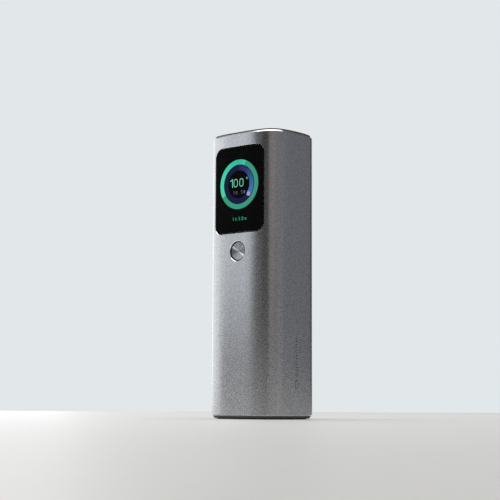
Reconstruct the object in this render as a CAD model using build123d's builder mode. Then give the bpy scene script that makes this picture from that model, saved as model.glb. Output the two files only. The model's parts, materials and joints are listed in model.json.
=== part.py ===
"""Tower power bank: an aluminium sleeve around two layers of two 21700 cells, with a curved
display window and a round button on its front, and three charging ports in its top.

Millimetres. +Z is up, the front with the display faces -Y, +X is to the right of the front.
The origin is the centre of the foot's underside.
"""

import os
from math import cos, hypot, radians, sin

from build123d import *

# ---------------------------------------------------------------- driving dimensions
height = 152.0
width = 50.2
depth = 40.3
crown_radius = 50.0  # the section turns gently beside each flat, and sharply at the corners
crown_turn = 12.0
corner_radius = 10.4
corner_turn = 90 - 2 * crown_turn
wall = 1.2
slack = 0.15  # gap between the sleeve and what slides into it

front = depth / 2  # distance of the front face from the Z axis, along -Y
turn_sin = sin(radians(crown_turn))
turn_cos = cos(radians(crown_turn))
corner_reach = crown_radius * (1 - turn_cos + turn_sin) + corner_radius * (turn_cos - turn_sin)
flat_x = width / 2 - corner_reach  # half the flat of the front, and of each side
flat_y = depth / 2 - corner_reach
crown_end = flat_x + crown_radius * turn_sin
cut_depth = 7.0  # of the openings in the front

# sleeve and end caps
shell_bottom = 1.8
shell_top = 151.2
top_chamfer = 0.8
bottom_chamfer = 0.5
window_chamfer = 0.25
flange_bottom = 0.4
pad_height = 0.8
pad_inset = 3.0
pad_edge = 0.25
cap_inset = 0.7
cap_chamfer = 1.0
plate_gap = 0.1  # between the sleeve's inner rim and the top plate
plate_edge = 0.3
mouth_chamfer = 0.2

# display window, centred on the front
window_width = 34.4
window_height = 46.4
window_radius = 5.0
window_z = 120.9
window_gap = 0.12
glass_chamfer = 0.3
adhesive = 0.15
bond_line = 1.5  # how far the adhesive reaches past the glass, on each side
lcd_width = 31.0
lcd_height = 43.4
lcd_y = -17.7
panel_thickness = 1.2
backlight_thickness = 1.4
frame_back_y = -14.6

# button, on the axis (0, button_z)
button_z = 88.0
button_hole = 5.3
button_radius = 4.8
button_recess = 0.7
dish_depth = 0.25
bezel_bore = 4.95
guide_radius = 7.0
flange_y = -18.05
stem_end_y = -12.4
spring_length = 3.2
spring_wire = 0.5
spring_radius = 3.9
spring_turns = 3
spring_play = 0.05  # at each end of the spring

# cells
cell_radius = 10.65
cell_length = 70.2
cell_x = 10.95
cell_y = 7.2
tray_bottom = 3.2
end_plate = 1.2
strip = 0.2
stack_bottom = tray_bottom + end_plate + strip
middle_gap = 2 * strip
stack_top = stack_bottom + 2 * cell_length + middle_gap
tray_top = stack_top + strip + end_plate
tray_inset = wall + 0.3
tray_front_y = -4.6
bore_radius = cell_radius + 0.1

# ports, in a row across the top
port_y = -10.4
port_pitch = 13.4
port_recess = 0.3
mouth_z = height - port_recess
usb_c_size = (8.94, 3.26)
usb_a_size = (13.1, 5.72)
sheet = 0.3  # metal thickness of the port shells
usb_c_length = 7.9
usb_a_length = 14.0
port_clearance = 0.2
contact_thickness = 0.05

# circuit board, upright between the cells and the display
board_front_y = port_y + usb_c_size[1] / 2
board_back_y = board_front_y + 1.2
board_width = 40.0
board_bottom = 8.0
board_top = 149.2
standoffs = [(x, z) for z in (22.0, 128.0) for x in (-17.0, 17.0)]

# screws
screw_spots = [(0.0, 15.6), (-20.6, -2.3), (20.6, -2.3)]
screw_radius = 0.95
hole_radius = 1.0
head_radius = 1.6
head_height = 1.1
screw_grip = 4.5
socket_radius = 0.6
socket_depth = 0.6
head_play = 0.05  # depth a head is sunk below its face
head_gap = 0.1  # round a head in its counterbore
board_screw_grip = 3.6
plate_thickness = height - shell_top

os.makedirs("parts", exist_ok=True)


# ---------------------------------------------------------------- helpers
def save(part, name):
    """Labels a finished piece and writes it as parts/name.step."""
    part.label = name
    export_step(part, f"parts/{name}.step")


def outline(inset, mode=Mode.ADD):
    """The sleeve's rounded outline, moved inwards by inset, in the active sketch."""
    crown = (crown_radius - inset, crown_turn)
    corner = (corner_radius - inset, corner_turn)
    with BuildLine(mode=Mode.PRIVATE) as rim:
        run = Line((-flat_x, inset - front), (flat_x, inset - front))
        for flat in (flat_y, flat_x, flat_y, 0):
            for radius, turn in (crown, corner, crown):
                run = JernArc(run @ 1, run % 1, radius, turn)
            if flat:
                run = PolarLine(run @ 1, 2 * flat, direction=run % 1)
    make_face(rim.edges(), mode=mode)


def skin_depth(point):
    """About how deep a point of the front lies under the sleeve's outer surface."""
    beside = max(abs(point.X) - flat_x, 0)
    return crown_radius - hypot(beside, crown_radius - front - point.Y)


def front_plane(distance):
    """A plane facing -Y, at y = -distance. Its local y is the part's Z."""
    return Plane.XZ.offset(distance)


def port_outlines(extra):
    """The three port openings, grown by extra on every side, in the active sketch."""
    c_wide, c_high = usb_c_size[0] + 2 * extra, usb_c_size[1] + 2 * extra
    with Locations((-port_pitch, port_y), (port_pitch, port_y)):
        RectangleRounded(c_wide, c_high, c_high / 2 - 0.01)
    with Locations((0, port_y)):
        RectangleRounded(usb_a_size[0] + 2 * extra, usb_a_size[1] + 2 * extra, 0.5 + extra)


# ---------------------------------------------------------------- sleeve
with BuildPart() as outer_shell:
    with BuildSketch(Plane.XY.offset(shell_bottom)):
        outline(0)
        outline(wall, mode=Mode.SUBTRACT)
    extrude(amount=shell_top - shell_bottom)
    rims = outer_shell.faces().filter_by(Axis.Z).sort_by(Axis.Z)
    chamfer(rims[-1].outer_wire().edges(), top_chamfer)
    rims = outer_shell.faces().filter_by(Axis.Z).sort_by(Axis.Z)
    chamfer(rims[0].outer_wire().edges(), bottom_chamfer)
    with BuildSketch(front_plane(front)):
        with Locations((0, window_z)):
            RectangleRounded(window_width, window_height, window_radius)
        with Locations((0, button_z)):
            Circle(button_hole)
    extrude(amount=-cut_depth, mode=Mode.SUBTRACT)
    cut_edges = outer_shell.edges(Select.LAST)
    chamfer(cut_edges.filter_by(lambda e: skin_depth(e @ 0.5) < wall / 4), window_chamfer)
save(outer_shell.part, "outer_shell")

# ---------------------------------------------------------------- top: face plate over a frame
with BuildPart() as top_plate:
    with BuildSketch(Plane.XY.offset(shell_top)):
        outline(top_chamfer + plate_gap)
    extrude(amount=plate_thickness)
    fillet(top_plate.faces().sort_by(Axis.Z)[-1].edges(), plate_edge)
    with BuildSketch(Plane.XY.offset(shell_top)):
        port_outlines(port_clearance)
    extrude(amount=plate_thickness, mode=Mode.SUBTRACT)
    chamfer(top_plate.faces().sort_by(Axis.Z)[-1].inner_wires().edges(), mouth_chamfer)
save(top_plate.part, "top_plate")

frame_floor = 149.6
skirt_bottom = 147.2
skirt = 1.5
boss_radius = 2.5

with BuildPart() as top_frame:
    with BuildSketch(Plane.XY.offset(skirt_bottom)):
        outline(wall + slack)
        outline(wall + slack + skirt, mode=Mode.SUBTRACT)
    extrude(amount=frame_floor - skirt_bottom)
    with BuildSketch(Plane.XY.offset(frame_floor)):
        outline(wall + slack)
    extrude(amount=shell_top - frame_floor)
    with BuildSketch(Plane.XY.offset(tray_top)):
        with Locations(*screw_spots):
            Circle(boss_radius)
    extrude(amount=frame_floor - tray_top)
    with BuildSketch(Plane.XY.offset(frame_floor)):
        port_outlines(port_clearance)
    extrude(amount=shell_top - frame_floor, mode=Mode.SUBTRACT)
    with Locations(*[(x, y, shell_top) for x, y in screw_spots]):
        CounterBoreHole(hole_radius, head_radius + head_gap, head_height + head_play)
save(top_frame.part, "top_frame")

# ---------------------------------------------------------------- bottom cap and foot
with BuildPart() as bottom_cap:
    with BuildSketch(Plane.XY.offset(flange_bottom)):
        outline(cap_inset)
    extrude(amount=shell_bottom - flange_bottom)
    chamfer(bottom_cap.faces().sort_by(Axis.Z)[0].edges(), cap_chamfer)
    with BuildSketch(Plane.XY.offset(shell_bottom)):
        outline(wall + slack)
    extrude(amount=tray_bottom - shell_bottom)
    with BuildSketch(Plane.XY.offset(flange_bottom)):
        outline(pad_inset - plate_gap)
    extrude(amount=pad_height - flange_bottom, mode=Mode.SUBTRACT)
    with Locations(*[Pos(x, y, pad_height) * Rot(180, 0, 0) for x, y in screw_spots]):
        CounterBoreHole(hole_radius, head_radius + head_gap, head_height + head_play)
save(bottom_cap.part, "bottom_cap")

with BuildPart() as foot_pad:
    with BuildSketch():
        outline(pad_inset)
    extrude(amount=pad_height)
    fillet(foot_pad.faces().sort_by(Axis.Z)[0].edges(), pad_edge)
save(foot_pad.part, "foot_pad")


# ---------------------------------------------------------------- screws
def end_screws(name, head_z, up):
    """One pan head screw at each screw spot. up is 1 where the head is above the thread."""
    with BuildPart() as screws:
        for x, y in screw_spots:
            with BuildSketch(Plane.XY.offset(head_z)):
                with Locations((x, y)):
                    Circle(head_radius)
            extrude(amount=up * head_height)
            with BuildSketch(Plane.XY.offset(head_z)):
                with Locations((x, y)):
                    Circle(screw_radius)
            extrude(amount=-up * screw_grip)
            with BuildSketch(Plane.XY.offset(head_z + up * head_height)):
                with Locations((x, y)):
                    RegularPolygon(socket_radius, 6)
            extrude(amount=-up * socket_depth, mode=Mode.SUBTRACT)
    save(screws.part, name)


end_screws("top_screws", shell_top - head_height - head_play, 1)
end_screws("bottom_screws", pad_height + head_height + head_play, -1)

# ---------------------------------------------------------------- display
window_bottom = window_z - window_height / 2


def window_block(y_near, y_far, wide, high, radius):
    """Keeps what the active part has in a rounded block over the window, y_near to y_far."""
    with BuildSketch(front_plane(-y_near)) as block:
        with Locations((0, window_z)):
            RectangleRounded(wide, high, radius)
    extrude(block.sketch, amount=y_near - y_far, mode=Mode.INTERSECT)


def is_glass_rim(edge):
    """True for the edges round the outer face of the glass, not the seams inside that face."""
    middle = edge @ 0.5
    seams = (flat_x, crown_end)
    return skin_depth(middle) < wall / 4 and all(abs(abs(middle.X) - x) > 0.01 for x in seams)


with BuildPart() as display_glass:
    with BuildSketch(Plane.XY.offset(window_bottom)):
        outline(0)
        outline(wall, mode=Mode.SUBTRACT)
    extrude(amount=window_height)
    glass_size = (window_width - 2 * window_gap, window_height - 2 * window_gap)
    window_block(-front - 1, cut_depth - front, *glass_size, window_radius - window_gap)
    chamfer(display_glass.edges().filter_by(is_glass_rim), glass_chamfer)
save(display_glass.part, "display_glass")

bonded_width = window_width + 2 * bond_line
bonded_height = window_height + 2 * bond_line
bonded_radius = window_radius + bond_line

with BuildPart() as display_adhesive:
    with BuildSketch(Plane.XY.offset(window_bottom - bond_line)):
        outline(wall)
        outline(wall + adhesive, mode=Mode.SUBTRACT)
    extrude(amount=bonded_height)
    window_block(-front - 1, cut_depth - front, bonded_width, bonded_height, bonded_radius)
    with BuildSketch(front_plane(front)):
        with Locations((0, window_z)):
            Rectangle(lcd_width, lcd_height)
    extrude(amount=-cut_depth, mode=Mode.SUBTRACT)
save(display_adhesive.part, "display_adhesive")

with BuildPart() as optical_bond:
    with BuildSketch(Plane.XY.offset(window_z - lcd_height / 2)):
        outline(wall)
    extrude(amount=lcd_height)
    window_block(-front - 1, lcd_y, lcd_width, lcd_height, 0.5)
save(optical_bond.part, "optical_bond")

pocket_depth = panel_thickness + backlight_thickness
pocket_play = 0.2
flex_z = 104.0
flex_width = 12.0
flex_thickness = 0.12
flex_bend = 2.5
flex_slot = (flex_width + 2, 5.0)

with BuildPart() as display_frame:
    with BuildSketch(Plane.XY.offset(window_bottom - bond_line)):
        outline(wall + adhesive)
    extrude(amount=bonded_height)
    window_block(-front - 1, frame_back_y, bonded_width, bonded_height, bonded_radius)
    with BuildSketch(front_plane(front)):
        with Locations((0, window_z)):
            Rectangle(lcd_width + pocket_play, lcd_height + pocket_play)
    extrude(amount=-(front + lcd_y + pocket_depth), mode=Mode.SUBTRACT)
    with BuildSketch(front_plane(front)):
        with Locations((0, flex_z)):
            Rectangle(*flex_slot)
    extrude(amount=-front, mode=Mode.SUBTRACT)
save(display_frame.part, "display_frame")

with BuildPart() as lcd_panel:
    with BuildSketch(front_plane(-lcd_y)):
        with Locations((0, window_z)):
            Rectangle(lcd_width, lcd_height)
    extrude(amount=-panel_thickness)
save(lcd_panel.part, "lcd_panel")

with BuildPart() as lcd_backlight:
    with BuildSketch(front_plane(-lcd_y - panel_thickness)):
        with Locations((0, window_z)):
            RectangleRounded(lcd_width, lcd_height, 0.6)
    extrude(amount=-backlight_thickness)
save(lcd_backlight.part, "lcd_backlight")

connector_depth = 1.8
connector_z = 95.0
connector_height = 3.0
flex_y = board_front_y - connector_depth / 2

with BuildPart() as lcd_flex:
    with BuildSketch(Plane.YZ):
        with BuildLine():
            FilletPolyline(
                (lcd_y + pocket_depth, flex_z),
                (flex_y, flex_z),
                (flex_y, connector_z + connector_height),
                radius=flex_bend,
            )
        trace(line_width=flex_thickness)
    extrude(amount=flex_width / 2, both=True)
save(lcd_flex.part, "lcd_flex")

with BuildPart() as flex_connector:
    with BuildSketch(front_plane(-board_front_y)):
        with Locations((0, connector_z + connector_height / 2)):
            Rectangle(flex_width + 3, connector_height)
    extrude(amount=connector_depth)
    chamfer(flex_connector.faces().sort_by(Axis.Y)[0].edges(), 0.3)
save(flex_connector.part, "flex_connector")

# ---------------------------------------------------------------- button
disc_front_y = -front + button_recess
disc_thickness = 1.1
disc_edge = 0.2
disc_rim = 0.5  # flat rim round the dish
disc_back_y = disc_front_y + disc_thickness
bezel_front_y = -front + 0.45
bezel_seat_y = -front + wall + 0.05
bezel_back_y = flange_y - 0.1
neck_radius = 3.0
flange_thickness = 0.8
flange_overlap = 0.85  # how far the flange reaches behind the bezel
stem_radius = 2.0
stem_bore = 2.2
guide_wall = 1.0
guide_back_y = flange_y + flange_thickness + spring_length + guide_wall


def ring(y_near, y_far, outer, inner):
    """A ring round the button's axis, added to the active part."""
    with BuildSketch(front_plane(-y_near)) as disc:
        with Locations((0, button_z)):
            Circle(outer)
            if inner:
                Circle(inner, mode=Mode.SUBTRACT)
    extrude(disc.sketch, amount=y_near - y_far)


with BuildPart() as button_cap:
    ring(disc_front_y, disc_back_y, button_radius, 0)
    chamfer(button_cap.faces().sort_by(Axis.Y)[0].edges(), disc_edge)
    dish_radius = ((button_radius - disc_rim) ** 2 + dish_depth**2) / (2 * dish_depth)
    with Locations((0, disc_front_y + dish_depth - dish_radius, button_z)):
        Sphere(dish_radius, mode=Mode.SUBTRACT)
save(button_cap.part, "button_cap")

with BuildPart() as button_stem:
    ring(disc_back_y, flange_y, neck_radius, 0)
    ring(flange_y, flange_y + flange_thickness, bezel_bore + flange_overlap, 0)
    ring(flange_y + flange_thickness, stem_end_y, stem_radius, 0)
save(button_stem.part, "button_stem")

with BuildPart() as button_bezel:
    ring(bezel_front_y, bezel_seat_y, button_hole - 0.05, bezel_bore)
    ring(bezel_seat_y, bezel_back_y, guide_radius, bezel_bore)
save(button_bezel.part, "button_bezel")

with BuildPart() as button_guide:
    ring(bezel_back_y, guide_back_y - guide_wall, guide_radius, guide_radius - guide_wall)
    ring(guide_back_y - guide_wall, guide_back_y, guide_radius, stem_bore)
save(button_guide.part, "button_guide")

with BuildPart() as button_spring:
    coil_height = spring_length - spring_wire - 2 * spring_play
    with BuildLine():
        coil = Helix(
            pitch=coil_height / spring_turns,
            height=coil_height,
            radius=spring_radius,
            center=(0, flange_y + flange_thickness + spring_play + spring_wire / 2, button_z),
            direction=(0, 1, 0),
        )
    with BuildSketch(Plane(coil @ 0, z_dir=coil % 0)):
        Circle(spring_wire / 2)
    sweep(is_frenet=True)
save(button_spring.part, "button_spring")

switch_size = 6.0
switch_depth = 2.2
plunger_radius = 1.5
plunger_play = 0.1
plunger_bore = 1.2
plunger_sunk = 0.6
stem_gap = 0.02  # between the stem and the plunger

with BuildPart() as tact_switch_body:
    with BuildSketch(front_plane(-board_front_y)):
        with Locations((0, button_z)):
            RectangleRounded(switch_size, switch_size, 0.3)
    extrude(amount=switch_depth)
    with BuildSketch(front_plane(-board_front_y + switch_depth)):
        with Locations((0, button_z)):
            Circle(plunger_radius + plunger_play)
    extrude(amount=-plunger_bore, mode=Mode.SUBTRACT)
save(tact_switch_body.part, "tact_switch_body")

with BuildPart() as tact_switch_plunger:
    ring(stem_end_y + stem_gap, board_front_y - switch_depth + plunger_sunk, plunger_radius, 0)
save(tact_switch_plunger.part, "tact_switch_plunger")

# ---------------------------------------------------------------- circuit board
notch_gap = 0.3
notch_width = usb_a_size[0] + notch_gap
notch_depth = board_top - mouth_z + usb_a_length + notch_gap

with BuildPart() as main_pcb:
    with BuildSketch(front_plane(-board_front_y)):
        with Locations((0, (board_bottom + board_top) / 2)):
            RectangleRounded(board_width, board_top - board_bottom, 1.5)
        with Locations((0, board_top)):
            Rectangle(notch_width, 2 * notch_depth, mode=Mode.SUBTRACT)
        with Locations(*standoffs):
            Circle(hole_radius, mode=Mode.SUBTRACT)
    extrude(amount=board_front_y - board_back_y)
save(main_pcb.part, "main_pcb")


def board_blocks(name, side, blocks, edge):
    """Rectangular components on the board. side is 1 on its front and -1 on its back.
    Each block is (x, z, width, height, depth)."""
    with BuildPart() as components:
        for x, z, wide, high, deep in blocks:
            face_y = board_front_y if side > 0 else board_back_y
            with BuildSketch(front_plane(-face_y)):
                with Locations((x, z)):
                    RectangleRounded(wide, high, edge)
            extrude(amount=side * deep)
    save(components.part, name)


transistor_depth = 1.1
inductors = [(x, 62.0, 10.5, 10.5, 5.0) for x in (-10.0, 10.0)]
chips = [(-8.0, 112.0, 7.0, 7.0, 0.9), (9.0, 112.0, 5.0, 5.0, 0.9), (0.0, 76.0, 6.0, 6.0, 0.9)]
switches = [(x, z, 5.2, 6.0, transistor_depth) for z in (50.0, 60.0) for x in (-14.0, -7.0, 7.0, 14.0)]
board_blocks("power_inductors", 1, inductors, 1.5)
board_blocks("control_chips", 1, chips, 0.3)
board_blocks("power_transistors", -1, switches, 0.2)

capacitor_radius = 3.15
capacitor_height = 7.0
capacitor_rows = 36.0  # z of the middle between the two rows

with BuildPart() as capacitors:
    with BuildSketch(front_plane(-board_front_y)):
        with GridLocations(9.5, 11.0, 4, 2):
            with Locations((0, capacitor_rows)):
                Circle(capacitor_radius)
    extrude(amount=capacitor_height)
    chamfer(capacitors.faces().filter_by(Axis.Y).group_by(Axis.Y)[0].edges(), 0.4)
save(capacitors.part, "capacitors")

paper_thickness = 0.3
paper_size = (38.0, 90.0)
paper_z = 78.0
thermal_size = (36.0, 18.0)
thermal_z = 55.0
pad_back_y = board_back_y + transistor_depth

with BuildPart() as thermal_pad:
    with BuildSketch(front_plane(-pad_back_y)):
        with Locations((0, thermal_z)):
            Rectangle(*thermal_size)
    extrude(amount=pad_back_y - tray_front_y + paper_thickness)
save(thermal_pad.part, "thermal_pad")

with BuildPart() as insulation_sheet:
    with BuildSketch(front_plane(-tray_front_y + paper_thickness)):
        with Locations((0, paper_z)):
            RectangleRounded(*paper_size, 1.0)
    extrude(amount=-paper_thickness)
save(insulation_sheet.part, "insulation_sheet")

with BuildPart() as pcb_screws:
    with BuildSketch(front_plane(-board_front_y)):
        with Locations(*standoffs):
            Circle(head_radius)
    extrude(amount=head_height)
    with BuildSketch(front_plane(-board_front_y)):
        with Locations(*standoffs):
            Circle(screw_radius)
    extrude(amount=-board_screw_grip)
    with BuildSketch(front_plane(-board_front_y + head_height)):
        with Locations(*standoffs):
            RegularPolygon(socket_radius, 6)
    extrude(amount=-socket_depth, mode=Mode.SUBTRACT)
save(pcb_screws.part, "pcb_screws")


# ---------------------------------------------------------------- ports
def inside(size):
    """Width and height of the room inside a port shell."""
    return size[0] - 2 * sheet, size[1] - 2 * sheet


def port_sleeve(name, x, size, radius, length):
    """The bent metal shell of a port: a tube open at the top, and at the bottom for its pins."""
    with BuildPart() as port_shell:
        with BuildSketch(Plane.XY.offset(mouth_z)):
            with Locations((x, port_y)):
                RectangleRounded(*size, radius)
                RectangleRounded(*inside(size), radius - sheet, mode=Mode.SUBTRACT)
        extrude(amount=-length)
    save(port_shell.part, name)


def port_tongue(name, x, size, radius, base, tongue):
    """The moulding inside a port. base is (bottom, top); tongue is (width, depth, y, top)."""
    with BuildPart() as moulding:
        with BuildSketch(Plane.XY.offset(base[0])):
            with Locations((x, port_y)):
                RectangleRounded(*inside(size), radius - sheet)
        extrude(amount=base[1] - base[0])
        with BuildSketch(Plane.XY.offset(base[1])):
            with Locations((x, tongue[2])):
                Rectangle(tongue[0], tongue[1])
        extrude(amount=tongue[3] - base[1])
        chamfer(moulding.faces().sort_by(Axis.Z)[-1].edges(), 0.15)
    save(moulding.part, name)


def port_contacts(name, centres, wide, bottom, tall, y, side):
    """Flat gold contacts on one face of a tongue. side is 1 for its -Y face."""
    with BuildPart() as contacts:
        with BuildSketch(front_plane(-y)):
            with Locations(*[(x, bottom + tall / 2) for x in centres]):
                Rectangle(wide, tall)
        extrude(amount=side * contact_thickness)
    save(contacts.part, name)


usb_c_radius = usb_c_size[1] / 2 - 0.01
usb_c_bottom = mouth_z - usb_c_length
usb_c_tongue = (6.69, 0.7)
usb_c_pins = 12
usb_c_pitch = 0.5
for side, x in (("left", -port_pitch), ("right", port_pitch)):
    port_sleeve(f"usb_c_shell_{side}", x, usb_c_size, usb_c_radius, usb_c_length)
    port_tongue(
        f"usb_c_tongue_{side}",
        x,
        usb_c_size,
        usb_c_radius,
        (usb_c_bottom + 0.1, usb_c_bottom + 1.7),
        (*usb_c_tongue, port_y, mouth_z - 1.0),
    )
    pin_places = [x + (i - (usb_c_pins - 1) / 2) * usb_c_pitch for i in range(usb_c_pins)]
    contact_y = port_y - usb_c_tongue[1] / 2
    port_contacts(f"usb_c_contacts_{side}", pin_places, 0.26, mouth_z - 4.8, 3.2, contact_y, 1)

usb_a_bottom = mouth_z - usb_a_length
usb_a_tongue = (11.1, 1.84)
tongue_y = port_y - 1.0
port_sleeve("usb_a_shell", 0, usb_a_size, 0.5, usb_a_length)
port_tongue(
    "usb_a_tongue",
    0,
    usb_a_size,
    0.5,
    (usb_a_bottom + 0.1, usb_a_bottom + 3.0),
    (*usb_a_tongue, tongue_y, mouth_z - 2.5),
)
pin_places = [-3.5, -1.0, 1.0, 3.5]
contact_y = tongue_y + usb_a_tongue[1] / 2
port_contacts("usb_a_contacts", pin_places, 1.2, mouth_z - 9.5, 6.0, contact_y, -1)

# ---------------------------------------------------------------- cell tray and cells
cell_spots = [(-cell_x, cell_y), (cell_x, cell_y)]
tab_width = 8.0
tab_y = -6.4
tab_low_z = stack_bottom - strip + 0.4  # middle of the slots that the strips' tabs pass through
tab_high_z = stack_top + strip - 0.4
tab_slot = (tab_width + 0.4, 1.2)
standoff_radius = 2.2
pocket_size = (12.0, 52.0)  # lightening pockets in the rear half's back
pocket_pitch = 70.6
tray_cut = 3.0


def tray_half(name, y_low, y_high, holes):
    """Half of the tray that holds the cells, between y_low and y_high."""
    with BuildPart() as half:
        with BuildSketch(Plane.XY.offset(tray_bottom)):
            outline(tray_inset)
            with Locations((0, (y_low + y_high) / 2)):
                Rectangle(width, y_high - y_low, mode=Mode.INTERSECT)
        extrude(amount=tray_top - tray_bottom)
        with BuildSketch(Plane.XY.offset(tray_bottom + end_plate)):
            with Locations(*cell_spots):
                Circle(bore_radius)
        extrude(amount=stack_top + strip - tray_bottom - end_plate, mode=Mode.SUBTRACT)
        with BuildSketch(Plane.XY.offset(stack_top)):
            with Locations((0, cell_y)):
                Rectangle(cell_x, tab_slot[0])
        extrude(amount=strip, mode=Mode.SUBTRACT)
        for z, direction in ((tray_bottom, 1), (tray_top, -1)):
            with BuildSketch(Plane.XY.offset(z)):
                with Locations(*holes):
                    Circle(hole_radius)
            extrude(amount=direction * (screw_grip + 0.5), mode=Mode.SUBTRACT)
        if y_low < 0:
            with BuildSketch(front_plane(-tray_front_y)):
                with Locations(*standoffs):
                    Circle(standoff_radius)
            extrude(amount=tray_front_y - board_back_y)
            with BuildSketch(front_plane(-board_back_y)):
                with Locations(*standoffs):
                    Circle(hole_radius)
            extrude(amount=-tray_cut, mode=Mode.SUBTRACT)
            with BuildSketch(front_plane(-tray_front_y)):
                with Locations(*[(x, z) for x in (-cell_x, cell_x) for z in (tab_low_z, tab_high_z)]):
                    Rectangle(*tab_slot)
            extrude(amount=-tray_cut, mode=Mode.SUBTRACT)
        else:
            with BuildSketch(front_plane(-y_high)):
                with Locations((0, (tray_bottom + tray_top) / 2)):
                    with GridLocations(2 * cell_x, pocket_pitch, 2, 2):
                        RectangleRounded(*pocket_size, 2.0)
            extrude(amount=tray_cut, mode=Mode.SUBTRACT)
    save(half.part, name)


tray_half("tray_front", tray_front_y, cell_y, screw_spots[1:])
tray_half("tray_rear", cell_y, depth / 2 - tray_inset, screw_spots[:1])

groove_depth = 0.6
groove = (3.0, 3.4, 4.2, 4.6)  # the rolled groove's edges, below the positive end
shoulder = 1.0
terminal_height = 0.6
terminal_radius = 4.2
washer_thickness = 0.3
strip_end_radius = 6.0


def cell(name, x, base_z, up):
    """One cylindrical cell. up is 1 where its positive end is above."""
    top_z = base_z + cell_length if up > 0 else base_z

    def z_at(below):
        return top_z - up * below

    profile = [
        (0, z_at(cell_length)),
        (cell_radius, z_at(cell_length)),
        (cell_radius, z_at(groove[3])),
        (cell_radius - groove_depth, z_at(groove[2])),
        (cell_radius - groove_depth, z_at(groove[1])),
        (cell_radius, z_at(groove[0])),
        (cell_radius, z_at(shoulder)),
        (cell_radius - groove_depth, z_at(terminal_height)),
        (terminal_radius, z_at(terminal_height)),
        (terminal_radius, z_at(0)),
        (0, z_at(0)),
    ]
    with BuildPart() as battery:
        with BuildSketch(Plane((x, cell_y, 0), x_dir=(1, 0, 0), z_dir=(0, -1, 0))):
            with BuildLine():
                Polyline(*profile, close=True)
            make_face()
        revolve(axis=Axis((x, cell_y, 0), (0, 0, 1)))
    save(battery.part, name)


layers = {"lower": stack_bottom, "upper": stack_bottom + cell_length + middle_gap}
washers = []
for layer, base_z in layers.items():
    for side, x, up in (("left", -cell_x, 1), ("right", cell_x, -1)):
        cell(f"cell_{layer}_{side}", x, base_z, up)
        shoulder_z = base_z + cell_length - terminal_height if up > 0 else base_z + terminal_height
        washers.append((x, shoulder_z, up))

with BuildPart() as cell_insulators:
    for x, z, up in washers:
        with BuildSketch(Plane.XY.offset(z)):
            with Locations((x, cell_y)):
                Circle(cell_radius - 1.2)
                Circle(terminal_radius + 0.3, mode=Mode.SUBTRACT)
        extrude(amount=up * washer_thickness)
save(cell_insulators.part, "cell_insulators")

# ---------------------------------------------------------------- nickel strips and leads
with BuildPart() as strip_middle:
    with BuildSketch(Plane.XY.offset(stack_bottom + cell_length)):
        with Locations(*cell_spots):
            RectangleRounded(tab_width, 16.0, 1.5)
    extrude(amount=middle_gap)
save(strip_middle.part, "strip_middle")

tab_centre = (tab_y + cell_y) / 2
tab_length = cell_y - tab_y

with BuildPart() as strip_bottom:
    with BuildSketch(Plane.XY.offset(stack_bottom - strip)):
        with Locations(*cell_spots):
            Circle(strip_end_radius)
        with Locations((-cell_x, tab_centre), (cell_x, tab_centre)):
            Rectangle(tab_width, tab_length)
    extrude(amount=strip)
save(strip_bottom.part, "strip_bottom")

with BuildPart() as strip_top:
    with BuildSketch(Plane.XY.offset(stack_top)):
        with Locations(*cell_spots):
            Circle(strip_end_radius)
        with Locations((0, cell_y)):
            Rectangle(2 * cell_x, tab_width)
        with Locations((cell_x, tab_centre)):
            Rectangle(tab_width, tab_length)
    extrude(amount=strip)
save(strip_top.part, "strip_top")

lead_y = tab_y + 0.85
lead_radius = 0.8
balance_radius = 0.4
lead_bend_z = 14.0


def lead(name, x, start_z, bend_z, radius):
    """A short insulated wire from a strip's tab, along the tray and into the board's back."""
    bend = lead_y - board_back_y - 0.1
    with BuildPart() as wire:
        with BuildLine() as route:
            FilletPolyline(
                (x, lead_y, start_z), (x, lead_y, bend_z), (x, board_back_y, bend_z), radius=bend
            )
        with BuildSketch(Plane(route.line @ 0, z_dir=route.line % 0)):
            Circle(radius)
        sweep()
    save(wire.part, name)


lead("battery_lead_negative", -cell_x, stack_bottom, lead_bend_z, lead_radius)
lead("battery_lead_positive", cell_x, stack_bottom, lead_bend_z, lead_radius)
lead("balance_lead", cell_x, stack_top, 136.0, balance_radius)
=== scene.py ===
"""Looks of the tower power bank: materials for every CAD node, a curved cover lens over a lit gauge,
a spun metal button and an etched side mark. Metres, in the row frame: +Z up, the front faces -Y."""

import json
from math import cos, pi, radians, sin

import bmesh
import bpy
from mathutils import Matrix, Vector


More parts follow.
